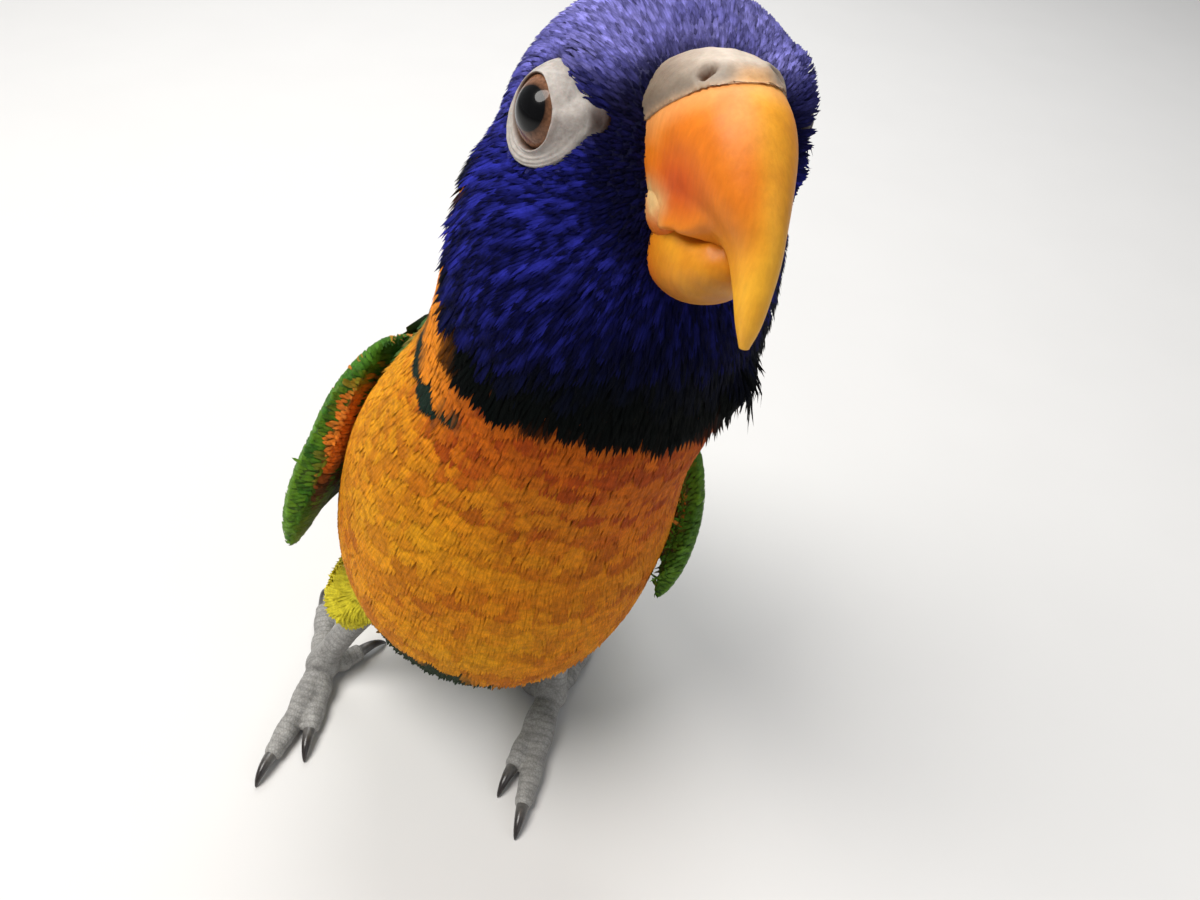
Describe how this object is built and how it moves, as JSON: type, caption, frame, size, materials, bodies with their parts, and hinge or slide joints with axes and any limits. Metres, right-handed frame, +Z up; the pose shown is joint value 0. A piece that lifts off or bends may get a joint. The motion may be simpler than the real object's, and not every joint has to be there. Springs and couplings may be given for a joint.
{
  "type": "rainbow lorikeet",
  "caption": "Life-size still rainbow lorikeet with an orange collar, standing tall and turning its head to its left.",
  "frame": {"origin": "middle of the bottom of the bounding box, on the floor that the feet and the tail rest on", "axes": "-Y is the way the body faces, +X is the bird's left, +Z is up; the body and tail run along Y"},
  "size_m": [0.0866, 0.216, 0.1663],
  "materials": {
    "hood_blue": "soft feathers",
    "collar_orange": "soft feathers",
    "breast_orange": "soft feathers",
    "tail_green": "smooth feather vanes",
    "wing_green": "smooth feather vanes",
    "thigh_yellow": "soft feathers",
    "bill_orange": "waxy horn",
    "cere_cream": "bare skin",
    "eye_brown": "wet and glossy",
    "foot_grey": "finely scaled skin",
    "claw_dark": "polished horn"
  },
  "bodies": {
    "root": {"cere": "cere_cream", "head": "hood_blue", "left_claw_inner_back": "claw_dark", "left_claw_inner_front": "claw_dark", "left_claw_outer_back": "claw_dark", "left_claw_outer_front": "claw_dark", "left_eye": "eye_brown", "left_foot": "foot_grey", "left_shank": "foot_grey", "left_thigh": "thigh_yellow", "left_wing": "wing_green", "lower_bill": "bill_orange", "neck": "collar_orange", "right_claw_inner_back": "claw_dark", "right_claw_inner_front": "claw_dark", "right_claw_outer_back": "claw_dark", "right_claw_outer_front": "claw_dark", "right_eye": "eye_brown", "right_foot": "foot_grey", "right_shank": "foot_grey", "right_thigh": "thigh_yellow", "right_wing": "wing_green", "tail": "tail_green", "torso": "breast_orange", "upper_bill": "bill_orange"}
  },
  "joints": []
}
